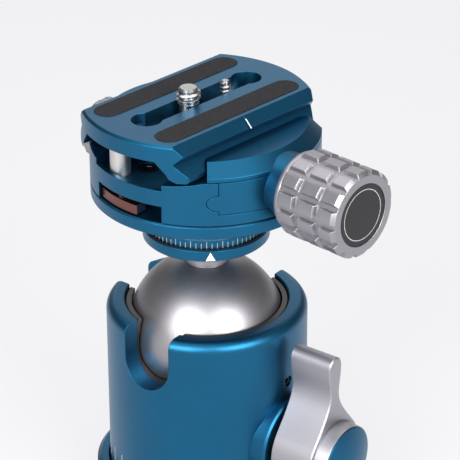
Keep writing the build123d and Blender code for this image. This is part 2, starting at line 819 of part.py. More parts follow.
# ---------------------------------------------------------------------------- safety latch
def latch_ramp(lift):
    """Cutting prism above the steep ramp that the pin's foot rides on."""
    low = pin_place[0] - pin_shank_radius
    foot = latch_bottom + latch_ramp_height + lift
    rise = plate_top - foot
    run = rise / tan(radians(latch_ramp_angle))
    drop = latch_travel + slip
    sink = drop * tan(radians(latch_ramp_angle))
    half = pin_shank_radius + slip
    return along_y(((low - drop, foot - sink), (low + run, plate_top), (low - drop, plate_top)),
                   pin_place[1] - half, pin_place[1] + half)


def safety_latch():
    """Curved finger bar in the window with a ramped tongue under the safety pin."""
    inner = latch_face - latch_thickness
    top = latch_bottom + latch_height
    outside = disc_radius * 2
    sector = ((0, 0), polar(outside, latch_start), polar(outside, (latch_start + latch_end) / 2),
              polar(outside, latch_end))
    sweep = extrude(make_face(Polyline(*sector, close=True)), plate_top)
    latch = tube(latch_face, inner, latch_bottom, top) & sweep
    reach = pin_place[0] + latch_tongue_length
    half = latch_tongue_width / 2
    latch += block(-inner - latch_thickness / 2, reach, pin_offset - half, pin_offset + half,
                   latch_bottom, top)
    return latch - latch_ramp(0)


def safety_pin():
    """Stop pin whose sloped foot stands on the latch."""
    foot = latch_bottom + latch_ramp_height
    pin = turned((0, foot), (pin_shank_radius, foot), (pin_shank_radius, pin_shoulder),
                 (pin_radius, pin_shoulder), (pin_radius, pin_top - 0.4), (pin_radius - 0.4, pin_top),
                 (0, pin_top))
    low = pin_place[0] - pin_shank_radius
    rise = pin_shank_radius * 2 * tan(radians(latch_ramp_angle))
    slope = ((low, foot + slip), (low + pin_shank_radius * 2, foot + slip + rise),
             (low + pin_shank_radius * 2, foot - 1), (low, foot - 1))
    return Pos(*pin_place) * pin - along_y(slope, pin_place[1] - pin_radius, pin_place[1] + pin_radius)


# ---------------------------------------------------------------------------- dovetail plate
def plate_outline():
    """Half section of the plate as (y, z) corners from the top's middle to the hollow."""
    lip_inner = plate_tail_half - plate_lip_width
    hollow = web_bottom - plate_bottom
    cove = [(lip_inner - plate_cove * across, plate_bottom + hollow * up)
            for across, up in ((0.33, 0.17), (0.47, 0.42), (0.69, 0.66), (1.0, 1.0))]
    return [
        (0, plate_top), (plate_top_half, plate_top), (plate_edge_half, plate_top - plate_bevel),
        (plate_edge_half, plate_edge_height), (plate_neck_half, plate_neck_height),
        (plate_tail_half, plate_tail_height), (plate_tail_half, plate_bottom + plate_edge_break),
        (plate_tail_half - plate_edge_break, plate_bottom), (lip_inner, plate_bottom), *cove]


def quick_release_plate():
    """Dovetail plate with round ends, rubber pockets and the camera screw's slot."""
    half = plate_outline()
    mirrored = [(-y, z) for y, z in reversed(half[1:])]
    body = along_x(half + mirrored, -plate_radius, plate_radius)
    shoulder = plate_top - plate_end_chamfer
    body &= turned((0, plate_bottom), (plate_radius, plate_bottom), (plate_radius, shoulder),
                   (plate_radius - plate_end_chamfer, plate_top), (0, plate_top))
    body -= slot_cutter()
    for side in (-1, 1):
        body -= strip(side, strip_gap, plate_top - strip_depth, plate_top + 1)
    body -= pin_groove()
    body -= index_notch()
    return Pos(plate_shift, 0, 0) * body


def pin_groove():
    """Blind groove in the plate's underside whose ends stop it against the safety pin."""
    place = pin_place[0] - plate_shift
    half = pin_radius + pin_groove_side
    return block(place - pin_radius - plate_travel_out, place + pin_radius + plate_travel_in,
                 pin_offset - half, pin_offset + half, web_bottom - 1, web_bottom + pin_groove_depth)


def slot_cutter():
    """Straight slot with a round eye at each end."""
    cutter = block(-slot_eye_place, slot_eye_place, -slot_half_width, slot_half_width,
                   plate_bottom - 1, plate_top + 1)
    for side in (-1, 1):
        cutter += post(slot_eye_radius, plate_bottom - 1, plate_top + 1, (side * slot_eye_place, 0))
    return cutter


def index_notch():
    """Centre mark engraved in the plate's near bevel."""
    mark = Box(index_width, plate_bevel * sqrt(2) - 2 * index_margin, 2 * index_depth)
    middle = plate_top_half + plate_bevel / 2
    return Pos(0, -middle, plate_top - plate_bevel / 2) * Rot(45, 0, 0) * mark


def strip(side, gap, bottom, top):
    """Round-ended strip on the plate, drawn about the plate's own middle."""
    face = SlotOverall(2 * (strip_half_length + gap), strip_width + 2 * gap)
    return Pos(0, side * strip_place, bottom) * extrude(face, top - bottom)


def rubber_strip(side):
    """Rubber grip strip."""
    return Pos(plate_shift, 0, 0) * strip(side, 0, plate_top - strip_depth, plate_top + strip_proud)


# ---------------------------------------------------------------------------- camera screw
def camera_screw_washer():
    """Fibre washer between the plate's web and the screw's head."""
    ring = tube(camera_washer_radius, camera_screw_neck_radius + slip,
                web_bottom - camera_washer_thickness, web_bottom)
    return Pos(camera_screw_place, 0, 0) * ring


def camera_screw():
    """Captive 1/4 inch camera screw with a slotted head under the web."""
    head_top = web_bottom - camera_washer_thickness
    head_bottom = head_top - camera_screw_head_height
    neck_top = camera_screw_top - camera_screw_thread
    screw = turned(
        (0, head_bottom), (camera_screw_head_radius - 0.4, head_bottom),
        (camera_screw_head_radius, head_bottom + 0.4), (camera_screw_head_radius, head_top),
        (camera_screw_neck_radius, head_top), (camera_screw_neck_radius, neck_top),
        (camera_screw_radius, neck_top + 0.4),
        (camera_screw_radius, camera_screw_top - camera_screw_chamfer),
        (camera_screw_radius - camera_screw_chamfer, camera_screw_top), (0, camera_screw_top))
    screw -= block(-coin_slot_width / 2, coin_slot_width / 2,
                   -camera_screw_head_radius, camera_screw_head_radius,
                   head_bottom - 1, head_bottom + coin_slot_depth)
    return Pos(camera_screw_place, 0, 0) * screw


def anti_twist_stud():
    """Small headed stud that stands up through the slot beside the camera screw."""
    head_bottom = web_bottom - stud_head_height
    stud = turned((0, head_bottom), (stud_head_radius, head_bottom), (stud_head_radius, web_bottom),
                  (stud_radius, web_bottom), (stud_radius, stud_top - 0.3), (stud_radius - 0.3, stud_top),
                  (0, stud_top))
    return Pos(stud_place, 0, 0) * stud


# ---------------------------------------------------------------------------- write every piece
def in_housing(shape):
    """Turn a piece of the housing group into place."""
    return Rot(0, 0, housing_turn) * shape


pieces = {
    "base_plate": base_plate(),
    "tripod_thread_bush": tripod_thread_bush(),
    "pan_bearing_washer": pan_bearing_washer(),
    "retaining_screw_back": in_housing(retaining_screw(retaining_screw_angles[0])),
    "retaining_screw_front": in_housing(retaining_screw(retaining_screw_angles[1])),
    "pan_lock_pad": in_housing(pan_lock_pad()),
    "pan_lock_screw": in_housing(pan_lock_screw()),
    "pan_lock_knob": in_housing(pan_lock_knob()),
    "housing": in_housing(housing()),
    "upper_seat_ring": in_housing(upper_seat_ring()),
    "seat_set_screw": in_housing(seat_set_screw()),
    "lower_cup": in_housing(lower_cup()),
    "lock_wedge": in_housing(lock_wedge()),
    "lock_screw": in_housing(lock_screw()),
    "lever_thrust_washer": in_housing(lever_thrust_washer()),
    "lock_lever": in_housing(lock_lever()),
    "lever_cap": in_housing(lever_cap()),
    "ball_and_stem": ball_and_stem(),
    "stem_flange": stem_flange(),
    "stem_screw": stem_screw(),
    "spindle_retainer": spindle_retainer(),
    "spindle_washer": spindle_washer(),
    "pan_disc": pan_disc(),
    "clamp_body": clamp_body(),
    "clamp_body_screw_left": clamp_body_screw(body_screw_angle),
    "clamp_body_screw_right": clamp_body_screw(body_screw_angle + 180),
    "moving_jaw": moving_jaw(),
    "knob_washer": knob_washer(),
    "clamp_screw": clamp_screw(),
    "clamp_knob": clamp_knob(),
    "clamp_knob_end_disc": clamp_knob_end_disc(),
    "clamp_pan_pad": clamp_pan_pad(),
    "clamp_pan_screw": clamp_pan_screw(),
    "clamp_pan_knob": clamp_pan_knob(),
    "safety_latch": safety_latch(),
    "safety_pin": safety_pin(),
    "quick_release_plate": quick_release_plate(),
    "rubber_strip_near": rubber_strip(-1),
    "rubber_strip_far": rubber_strip(1),
    "camera_screw_washer": camera_screw_washer(),
    "camera_screw": camera_screw(),
    "anti_twist_stud": anti_twist_stud(),
}

os.makedirs("parts", exist_ok=True)
for name, shape in pieces.items():
    export_step(shape, f"parts/{name}.step")
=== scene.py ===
# %% [markdown]
# # A tripod ball head, dressed for a product picture
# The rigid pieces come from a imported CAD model: housing, ball, clamp, plate, knobs and lever.
# They are already the right shape and size, so Blender adds what CAD leaves plain: cut threads,
# printed scale marks, softened knurling, and above all the metal finishes and the light.

# %% Load the frame
import json
import math

import bpy
from mathutils import Matrix, Vector


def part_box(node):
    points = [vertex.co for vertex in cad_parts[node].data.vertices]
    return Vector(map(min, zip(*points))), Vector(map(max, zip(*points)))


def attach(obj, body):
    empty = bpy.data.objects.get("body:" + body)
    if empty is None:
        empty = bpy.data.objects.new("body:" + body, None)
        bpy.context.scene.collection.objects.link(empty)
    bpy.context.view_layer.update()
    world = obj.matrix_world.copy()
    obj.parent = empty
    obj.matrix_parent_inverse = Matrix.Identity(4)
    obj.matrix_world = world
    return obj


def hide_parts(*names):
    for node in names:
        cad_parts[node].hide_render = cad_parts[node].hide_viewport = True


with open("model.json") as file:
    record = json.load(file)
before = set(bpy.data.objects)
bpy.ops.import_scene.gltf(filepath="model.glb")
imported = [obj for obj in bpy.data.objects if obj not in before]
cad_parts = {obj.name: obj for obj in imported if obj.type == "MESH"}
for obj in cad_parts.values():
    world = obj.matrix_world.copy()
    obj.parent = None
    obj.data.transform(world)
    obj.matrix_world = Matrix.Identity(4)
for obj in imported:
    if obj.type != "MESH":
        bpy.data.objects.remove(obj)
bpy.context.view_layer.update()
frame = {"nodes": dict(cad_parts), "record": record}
nodes = frame["nodes"]
MM = 0.001
print("CAD nodes:", len(nodes))

# %% [markdown]
# Colours are written as the hex codes that a screen shows. Blender's shaders work on linear
# light, so one function turns each code to linear values.


# %% Colours and nodes
def hex_colour(code):
    """sRGB hex such as '1f6fa0' to linear RGBA."""
    channels = [int(code[i:i + 2], 16) / 255 for i in (0, 2, 4)]
    linear = [c / 12.92 if c <= 0.04045 else ((c + 0.055) / 1.055) ** 2.4 for c in channels]
    return (*linear, 1.0)


def add_node(tree, kind, settings=None, inputs=None):
    """Adds one node, sets its properties and input values, and links inputs given as sockets."""
    node = tree.nodes.new(kind)
    for name, value in (settings or {}).items():
        setattr(node, name, value)
    for name, value in (inputs or {}).items():
        if isinstance(value, bpy.types.NodeSocket):
            tree.links.new(value, node.inputs[name])
        else:
            node.inputs[name].default_value = value
    return node


def new_material(name):
    """Empty node material with its output."""
    material = bpy.data.materials.new(name)
    material.use_nodes = True
    material.node_tree.nodes.clear()
    output = add_node(material.node_tree, "ShaderNodeOutputMaterial")
    return material, material.node_tree, output


# %% [markdown]
# Most of the head is aluminium that was bead-blasted and then anodised. Blasting leaves a fine
# satin grain, and the dyed oxide layer over the metal acts like a clear coat: face on it shows
# the metal's coloured reflection, and at a glancing angle it adds a pale, colourless sheen.
# One function makes every blasted metal here, with its colour, roughness and coat. The grain
# is about 0.15 mm on the real part, and is drawn at 0.35 mm so that it shows at all. The edges
# are broken by a quarter of a millimetre, too little to model on every piece: a Bevel node
# rounds the shading there, so that each edge catches a thin line of light. In the narrow seams
# between pieces an Ambient Occlusion node paints shade into the colour over 0.8 mm.


# %% Blasted metals
EDGE_BREAK = 0.25 * MM
SEAM_REACH = 0.8 * MM


def blasted_metal(name, colour, dark, roughness, grain_mm, bump, coat=0.0, coat_roughness=0.3):
    """Satin metal with a fine blasted grain, a slow, faint shift of tone and painted shade in its
    seams.
    """
    material, tree, output = new_material(name)
    place = add_node(tree, "ShaderNodeTexCoord").outputs["Object"]
    grain = add_node(tree, "ShaderNodeTexNoise", inputs={
        "Vector": place, "Scale": 1 / (grain_mm * MM), "Detail": 3.0, "Roughness": 0.6})
    cloud = add_node(tree, "ShaderNodeTexNoise", inputs={
        "Vector": place, "Scale": 1 / (18 * MM), "Detail": 2.0, "Roughness": 0.5})
    tone = add_node(tree, "ShaderNodeMix", {"data_type": "RGBA"}, {
        "Factor": cloud.outputs["Fac"], "A": hex_colour(colour), "B": hex_colour(dark)})
    rough = add_node(tree, "ShaderNodeMapRange", inputs={
        "Value": grain.outputs["Fac"], "From Min": 0.3, "From Max": 0.7,
        "To Min": roughness - 0.04, "To Max": roughness + 0.05})
    # Painted shade: near-black is mixed into the base colour where this node finds seams and
    # crevices.
    painted_crevice_shade = add_node(tree, "ShaderNodeAmbientOcclusion", {"samples": 6}, {
        "Distance": SEAM_REACH})
    shaded = add_node(tree, "ShaderNodeMix", {"data_type": "RGBA"}, {
        "Factor": painted_crevice_shade.outputs["AO"], "A": hex_colour("05080b"), "B": tone.outputs["Result"]})
    edge = add_node(tree, "ShaderNodeBevel", {"samples": 6}, {"Radius": EDGE_BREAK})
    relief = add_node(tree, "ShaderNodeBump", inputs={
        "Height": grain.outputs["Fac"], "Strength": bump, "Distance": 0.03 * MM,
        "Normal": edge.outputs["Normal"]})
    shader = add_node(tree, "ShaderNodeBsdfPrincipled", inputs={
        "Base Color": shaded.outputs["Result"], "Metallic": 1.0,
        "Roughness": rough.outputs["Result"], "Normal": relief.outputs["Normal"],
        "Coat Weight": coat, "Coat Roughness": coat_roughness})
    tree.links.new(shader.outputs["BSDF"], output.inputs["Surface"])
    return material


blue_anodised = blasted_metal("blue_anodised_aluminium", "0b6189", "095475", 0.40, 0.35, 0.25,
                              coat=0.3, coat_roughness=0.42)
grey_anodised = blasted_metal("grey_anodised_aluminium", "aeacb2", "a19fa5", 0.46, 0.35, 0.3)
satin_ball = blasted_metal("hard_anodised_ball", "a4a2a6", "99979b", 0.42, 0.45, 0.3)
satin_steel = blasted_metal("satin_stainless_steel", "d0ccc9", "c6c2bf", 0.40, 0.35, 0.2)
black_steel = blasted_metal("black_oxide_steel", "4a4b4e", "3e3f42", 0.32, 0.35, 0.2,
                            coat=0.3, coat_roughness=0.2)
black_anodised = blasted_metal("black_anodised_disc", "2a2a2d", "222225", 0.42, 0.35, 0.2,
                               coat=0.6, coat_roughness=0.3)
print("blasted metals:", len(bpy.data.materials))

# %% [markdown]
# The safety latch is aluminium too, anodised copper brown. Its top lies in the window's shade,
# which is painted on as a darker brown, and its sawn end is bare and grey. The piece's own
# normals tell the three apart.


# %% Copper-brown latch
def latch_metal(name):
    """Copper-brown front, top darkened as painted shade, slate end."""
    material, tree, output = new_material(name)
    normal = add_node(tree, "ShaderNodeTexCoord").outputs["Normal"]
    axes = add_node(tree, "ShaderNodeSeparateXYZ", inputs={"Vector": normal})
    # Painted shade: this mask picks the faces turned upwards, which lie in the window's shade, for
    # a darker brown.
    top = add_node(tree, "ShaderNodeMapRange", inputs={
        "Value": axes.outputs["Z"], "From Min": 0.5, "From Max": 0.9})
    end = add_node(tree, "ShaderNodeMapRange", inputs={
        "Value": axes.outputs["Y"], "From Min": -0.7, "From Max": -0.9})
    place = add_node(tree, "ShaderNodeTexCoord").outputs["Object"]
    grain = add_node(tree, "ShaderNodeTexNoise", inputs={
        "Vector": place, "Scale": 1 / (0.35 * MM), "Detail": 3.0})
    front = add_node(tree, "ShaderNodeMix", {"data_type": "RGBA"}, {
        "Factor": grain.outputs["Fac"], "A": hex_colour("7c4c45"), "B": hex_colour("6c403a")})
    front_and_painted_top_shade = add_node(tree, "ShaderNodeMix", {"data_type": "RGBA"}, {
        "Factor": top.outputs["Result"], "A": front.outputs["Result"], "B": hex_colour("552f2b")})
    tone = add_node(tree, "ShaderNodeMix", {"data_type": "RGBA"}, {
        "Factor": end.outputs["Result"], "A": front_and_painted_top_shade.outputs["Result"], "B": hex_colour("6d7680")})
    edge = add_node(tree, "ShaderNodeBevel", {"samples": 6}, {"Radius": EDGE_BREAK})
    shader = add_node(tree, "ShaderNodeBsdfPrincipled", inputs={
        "Base Color": tone.outputs["Result"], "Metallic": 1.0, "Roughness": 0.4,
        "Normal": edge.outputs["Normal"], "Coat Weight": 0.4, "Coat Roughness": 0.35})
    tree.links.new(shader.outputs["BSDF"], output.inputs["Surface"])
    return material


copper_anodised = latch_metal("copper_anodised_aluminium")
print("latch finish:", copper_anodised.name)

# %% [markdown]
# Turned steel parts, such as the camera screw and the stud beside it, keep the fine rings that
# the lathe's tool leaves. Rings run round the axis, so the pattern is stretched far less along
# it than across it. Tool feed is about 0.08 mm a turn and is drawn at 0.2 mm. The clamp knob was
# turned too, about an axis that lies along Y, and then anodised grey. Screws keep sharper
# edges than the knobs, so each metal has its own edge break.


# %% Turned metals
def turned_metal(name, colour, roughness, edge_break, stretch=(0.05, 0.05, 1.0)):
    """Bright metal with fine turning rings across the axis whose stretch is 1."""
    material, tree, output = new_material(name)
    place = add_node(tree, "ShaderNodeTexCoord").outputs["Object"]
    spread = add_node(tree, "ShaderNodeMapping", inputs={"Vector": place, "Scale": stretch})
    rings = add_node(tree, "ShaderNodeTexNoise", inputs={
        "Vector": spread.outputs["Vector"], "Scale": 1 / (0.2 * MM), "Detail": 2.0})
    rough = add_node(tree, "ShaderNodeMapRange", inputs={
        "Value": rings.outputs["Fac"], "To Min": roughness - 0.06, "To Max": roughness + 0.08})
    edge = add_node(tree, "ShaderNodeBevel", {"samples": 6}, {"Radius": edge_break})
    relief = add_node(tree, "ShaderNodeBump", inputs={
        "Height": rings.outputs["Fac"], "Strength": 0.35, "Distance": 0.02 * MM,
        "Normal": edge.outputs["Normal"]})
    shader = add_node(tree, "ShaderNodeBsdfPrincipled", inputs={
        "Base Color": hex_colour(colour), "Metallic": 1.0, "Roughness": rough.outputs["Result"],
        "Normal": relief.outputs["Normal"]})
    tree.links.new(shader.outputs["BSDF"], output.inputs["Surface"])
    return material


SHARP_EDGE = 0.05 * MM
stainless = turned_metal("turned_stainless_steel", "bdbbba", 0.25, SHARP_EDGE)
brass = turned_metal("turned_brass", "c9a15a", 0.28, SHARP_EDGE)
turned_grey = turned_metal("turned_grey_anodised_aluminium", "a09ea3", 0.42, EDGE_BREAK,
                           stretch=(0.05, 1.0, 0.05))
print("turned metals:", stainless.name, brass.name, turned_grey.name)

# %% [markdown]
# The seat ring and washers are moulded acetal, a slippery engineering plastic with a soft gloss.
# The plate's two grip strips are cork-filled rubber: nearly black, matte, with greyer specks.
# Scale ink and pointer paint dry to a plain, half-matte skin, and are made like the plastics.


# %% Plastics and rubber
def moulded_plastic(name, colour, dark, roughness):
    """Plain moulded plastic with a faint grain."""
    material, tree, output = new_material(name)
    place = add_node(tree, "ShaderNodeTexCoord").outputs["Object"]
    grain = add_node(tree, "ShaderNodeTexNoise", inputs={
        "Vector": place, "Scale": 1 / (0.6 * MM), "Detail": 2.0})
    tone = add_node(tree, "ShaderNodeMix", {"data_type": "RGBA"}, {
        "Factor": grain.outputs["Fac"], "A": hex_colour(colour), "B": hex_colour(dark)})
    relief = add_node(tree, "ShaderNodeBump", inputs={
        "Height": grain.outputs["Fac"], "Strength": 0.15, "Distance": 0.03 * MM})
    shader = add_node(tree, "ShaderNodeBsdfPrincipled", inputs={
        "Base Color": tone.outputs["Result"], "Roughness": roughness,
        "Normal": relief.outputs["Normal"]})
    tree.links.new(shader.outputs["BSDF"], output.inputs["Surface"])
    return material


def cork_rubber(name):
    """Dark rubber with greyer specks about 0.4 mm across."""
    material, tree, output = new_material(name)
    place = add_node(tree, "ShaderNodeTexCoord").outputs["Object"]
    specks = add_node(tree, "ShaderNodeTexNoise", inputs={
        "Vector": place, "Scale": 1 / (0.4 * MM), "Detail": 4.0, "Roughness": 0.75})
    ramp = add_node(tree, "ShaderNodeValToRGB", inputs={"Fac": specks.outputs["Fac"]})
    ramp.color_ramp.elements[0].position = 0.42
    ramp.color_ramp.elements[0].color = hex_colour("121214")
    ramp.color_ramp.elements[1].position = 0.72
    ramp.color_ramp.elements[1].color = hex_colour("2b2b2f")
    relief = add_node(tree, "ShaderNodeBump", inputs={
        "Height": specks.outputs["Fac"], "Strength": 0.6, "Distance": 0.08 * MM})
    shader = add_node(tree, "ShaderNodeBsdfPrincipled", inputs={
        "Base Color": ramp.outputs["Color"], "Roughness": 0.9, "Specular IOR Level": 0.3,
        "Normal": relief.outputs["Normal"]})
    tree.links.new(shader.outputs["BSDF"], output.inputs["Surface"])
    return material


seat_acetal = moulded_plastic("brown_acetal", "2b2725", "221f1d", 0.35)
black_acetal = moulded_plastic("black_acetal", "1c1c1e", "151517", 0.4)
grip_rubber = cork_rubber("cork_rubber")
white_ink = moulded_plastic("pale_scale_ink", "989b99", "8e9291", 0.5)
scribed_metal = moulded_plastic("scribed_line_metal", "5f8496", "547888", 0.5)
white_paint = moulded_plastic("white_pointer_paint", "cfd1d2", "c7c9cb", 0.5)
print("finishes in all:", len(bpy.data.materials))

# %% [markdown]
# Each CAD node carries the name of a material slot. A table gives every slot its finish, and
# the finish replaces the plain colour that came with the frame.

# %% Dress the CAD nodes
finish_of_slot = {
    "anodised_blue": blue_anodised, "silver": grey_anodised, "satin_ball": satin_ball,
    "steel": stainless, "brass": brass, "seat_plastic": seat_acetal,
    "bearing_plastic": black_acetal, "black_disc": black_anodised,
    "copper_latch": copper_anodised, "rubber": grip_rubber}
slot_of_node = {row["node"]: row["material_slot"] for row in frame["record"]["subparts"]}
finish_of_node = {
    "safety_pin": satin_steel, "clamp_body_screw_left": black_steel,
    "clamp_body_screw_right": black_steel, "seat_set_screw": black_steel,
    "clamp_knob": turned_grey, "clamp_pan_knob": turned_grey, "pan_lock_knob": turned_grey}
for node_name, node in nodes.items():
    for material_slot in node.material_slots:
        plain_finish = finish_of_slot[slot_of_node[node_name]]
        material_slot.material = finish_of_node.get(node_name, plain_finish)
print("dressed", len(nodes), "nodes")

# %% [markdown]
# New pieces are modelled as by hand, with primitives and edit-mode tools. Every operator acts
# on the selection, so a small helper clears it first, and others select, join and settle pieces.


# %% Modelling helpers
def clear_selection():
    """Nothing selected, nothing active."""
    bpy.ops.object.select_all(action="DESELECT")
    bpy.context.view_layer.objects.active = None


def only(piece):
    """Selects one object and makes it active."""
    clear_selection()
    piece.select_set(True)
    bpy.context.view_layer.objects.active = piece


def settle(piece, material, body):
    """Applies the object's place to its mesh, gives it a finish and lets it ride on its body."""
    only(piece)
    bpy.ops.object.transform_apply(location=True, rotation=True, scale=True)
    piece.data.materials.clear()
    piece.data.materials.append(material)
    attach(piece, body)
    print(piece.name, "faces:", len(piece.data.polygons))


def joined(pieces, name):
    """Joins several objects into one."""
    clear_selection()
    for piece in pieces:
        piece.select_set(True)
    bpy.context.view_layer.objects.active = pieces[0]
    if len(pieces) > 1:
        bpy.ops.object.join()
    pieces[0].name = name
    pieces[0].data.name = name
    return pieces[0]


# %% [markdown]
# The clamp's neck has a scale of fine pale ticks every 5 degrees, with a longer one at each 15,
# and the flange under it has a small white triangle to read against. They are printed, so each
# is a wafer of ink 0.03 mm proud of the metal. One function makes a tick: a cube primitive
# squeezed to a thin bar and turned to its place on the scale.

# %% Dial scale
DIAL_RADIUS = 16.0 * MM
DIAL_FOOT = 79.85 * MM
TICK_WIDTH = 0.17 * MM
SHORT_TICK = 1.45 * MM
LONG_TICK = 1.95 * MM
INK_DEPTH = 0.06 * MM
DIAL_TICKS = 72
LONG_EVERY = 3


def printed_tick(radius, foot, height, width, angle):
    """A thin upright bar of ink lying on a cylinder."""
    clear_selection()
    middle = Vector((radius * math.cos(angle), radius * math.sin(angle), foot + height / 2))
    bpy.ops.mesh.primitive_cube_add(size=1, location=middle, rotation=(0, 0, angle))
    tick = bpy.context.active_object
    tick.scale = (INK_DEPTH, width, height)
    bpy.ops.object.transform_apply(location=True, rotation=True, scale=True)
    return tick


dial_ticks = []
for step in range(DIAL_TICKS):
    tick_height = LONG_TICK if step % LONG_EVERY == 0 else SHORT_TICK
    dial_ticks.append(printed_tick(DIAL_RADIUS, DIAL_FOOT, tick_height, TICK_WIDTH,
                                   math.radians(step * 360 / DIAL_TICKS)))
settle(joined(dial_ticks, "dial_scale"), white_ink, "clamp")

# %% [markdown]
# A hair-thin line is scribed round the neck, a little above the long ticks. It is a cylinder
# primitive without its caps, less than a tenth of a millimetre tall, thickened by Solidify.

# %% Scribed line
LINE_HEIGHT = 0.07 * MM
LINE_CLEARANCE = 0.4 * MM
clear_selection()
bpy.ops.mesh.primitive_cylinder_add(vertices=120, radius=DIAL_RADIUS, depth=LINE_HEIGHT,
                                    end_fill_type="NOTHING",
                                    location=(0, 0, DIAL_FOOT + LONG_TICK + LINE_CLEARANCE))
scribed_line = bpy.context.active_object
scribed_line.name = "scribed_line"
wall = scribed_line.modifiers.new("wall", "SOLIDIFY")
wall.thickness = INK_DEPTH
wall.offset = 0
bpy.ops.object.modifier_apply(modifier="wall")
settle(scribed_line, scribed_metal, "clamp")

# %% [markdown]
# Between the neck and the flange lies a thin black ring of painted shadow, for the dark gap there.
# It is a filled circle primitive with its face inset, the middle deleted, and the rest thickened.

# %% Painted shadow ring
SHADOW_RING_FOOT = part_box("pan_disc")[0][2]
SHADOW_RING_RADIUS = 16.74 * MM
SHADOW_RING_WIDTH = 0.66 * MM
SHADOW_RING_THICKNESS = 0.05 * MM
SHADOW_RING_LIFT = 0.03 * MM
# Painted shadow: this black ring stands for the dark gap between the neck and the flange.
clear_selection()
bpy.ops.mesh.primitive_circle_add(vertices=120, radius=SHADOW_RING_RADIUS, fill_type="NGON",
                                  location=(0, 0, SHADOW_RING_FOOT + SHADOW_RING_LIFT))
painted_shadow_ring = bpy.context.active_object
painted_shadow_ring.name = "painted_shadow_ring"
bpy.ops.object.mode_set(mode="EDIT")
bpy.ops.mesh.select_all(action="SELECT")
bpy.ops.mesh.inset(thickness=SHADOW_RING_WIDTH)
bpy.ops.mesh.delete(type="FACE")
bpy.ops.object.mode_set(mode="OBJECT")
thickness = painted_shadow_ring.modifiers.new("thickness", "SOLIDIFY")
thickness.thickness = SHADOW_RING_THICKNESS
thickness.offset = 0
bpy.ops.object.modifier_apply(modifier="thickness")
settle(painted_shadow_ring, black_acetal, "ball")

# %% [markdown]
# The housing's lower edge carries a coarser scale, 10 degrees apart, for the panning base. It
# is left blank at the retaining screws, the pan lock's screw and the lever's boss.

# %% Base scale
HOUSING_RADIUS = 26.9 * MM
BASE_TICK_FOOT = 11.2 * MM
BASE_TICK_WIDTH = 0.35 * MM
BASE_TICK_HEIGHTS = (4.8 * MM, 4.8 * MM, 6.0 * MM)  # two short ones, then a long one
BASE_TICKS = 36
FIRST_AZIMUTH = 4.6
BLANKS = ((52, 6), (172, 5), (277, 20), (322, 5))  # middle and half width, degrees
base_ticks = []
for step in range(BASE_TICKS):
    azimuth = FIRST_AZIMUTH + step * 360 / BASE_TICKS
    if any(abs(azimuth - middle) < half_width for middle, half_width in BLANKS):
        continue
    tick_height = BASE_TICK_HEIGHTS[step % LONG_EVERY]
    base_ticks.append(printed_tick(HOUSING_RADIUS, BASE_TICK_FOOT, tick_height, BASE_TICK_WIDTH,
                                   math.radians(azimuth)))
settle(joined(base_ticks, "base_scale"), white_ink, "housing_group")

# %% [markdown]
# The reading triangle sits on the flange's rim. It is a three-sided circle primitive, filled,
# stretched to 2.5 by 2.4 mm, stood up on the rim and given a little thickness by Solidify.

# %% Reading triangle
FLANGE_RADIUS = 16.8 * MM
POINTER_ANGLE = math.radians(-131.7)
POINTER_HEIGHT = 77.55 * MM
POINTER_SCALE = (1.45 * MM, 1.6 * MM, 1)
POINTER_THICKNESS = 0.12 * MM
POINTER_SINK = 0.02 * MM


def stand_on_rim(piece, radius, angle, height):
    """Turns a flat piece drawn in XY to face outwards from the rim at an angle."""
    turn = Matrix.Rotation(angle + math.pi / 2, 4, "Z") @ Matrix.Rotation(math.pi / 2, 4, "X")
    place = Matrix.Translation((radius * math.cos(angle), radius * math.sin(angle), height))
    piece.matrix_world = place @ turn @ piece.matrix_world


clear_selection()
bpy.ops.mesh.primitive_circle_add(vertices=3, radius=1, fill_type="NGON", location=(0, 0, 0))
pointer = bpy.context.active_object
pointer.name = "reading_triangle"
pointer.scale = POINTER_SCALE
bpy.ops.object.transform_apply(location=True, rotation=True, scale=True)
only(pointer)
thickness = pointer.modifiers.new("thickness", "SOLIDIFY")
thickness.thickness = POINTER_THICKNESS
thickness.offset = 0
bpy.ops.object.modifier_apply(modifier="thickness")
stand_on_rim(pointer, FLANGE_RADIUS - POINTER_SINK, POINTER_ANGLE, POINTER_HEIGHT)
settle(pointer, white_paint, "ball")

# %% [markdown]
# The plate's near bevel has an engraved centre mark, filled with white paint. The groove is in the
# CAD model already. The paint is a thin bar that lies in it, a hair below the bevel's surface.
# It is a cube primitive with its ends rounded by a bevel.

# %% Centre mark
MARK_MIDDLE = Vector((-2.8, -18.2, 114.7)) * MM
MARK_NORMAL = Vector((0, -1, 1)).normalized()
MARK_SINK = 0.1 * MM
MARK_SIZE = (0.30 * MM, 2.8 * MM, 0.16 * MM)
MARK_ROUNDING = 0.06 * MM
clear_selection()
bpy.ops.mesh.primitive_cube_add(size=1, location=MARK_MIDDLE - MARK_NORMAL * MARK_SINK,
                                rotation=(math.radians(45), 0, 0))
centre_mark = bpy.context.active_object
centre_mark.name = "centre_mark"
centre_mark.scale = MARK_SIZE
bpy.ops.object.transform_apply(location=False, rotation=False, scale=True)
rounding = centre_mark.modifiers.new("rounding", "BEVEL")
rounding.width = MARK_ROUNDING
rounding.segments = 2
bpy.ops.object.modifier_apply(modifier="rounding")
settle(centre_mark, white_paint, "plate")

# %% [markdown]
# The clamp knob ends in a black disc with one thin pale ring printed near its edge. The ring is a
# filled circle primitive whose face is inset once; the middle is deleted and the rim thickened.

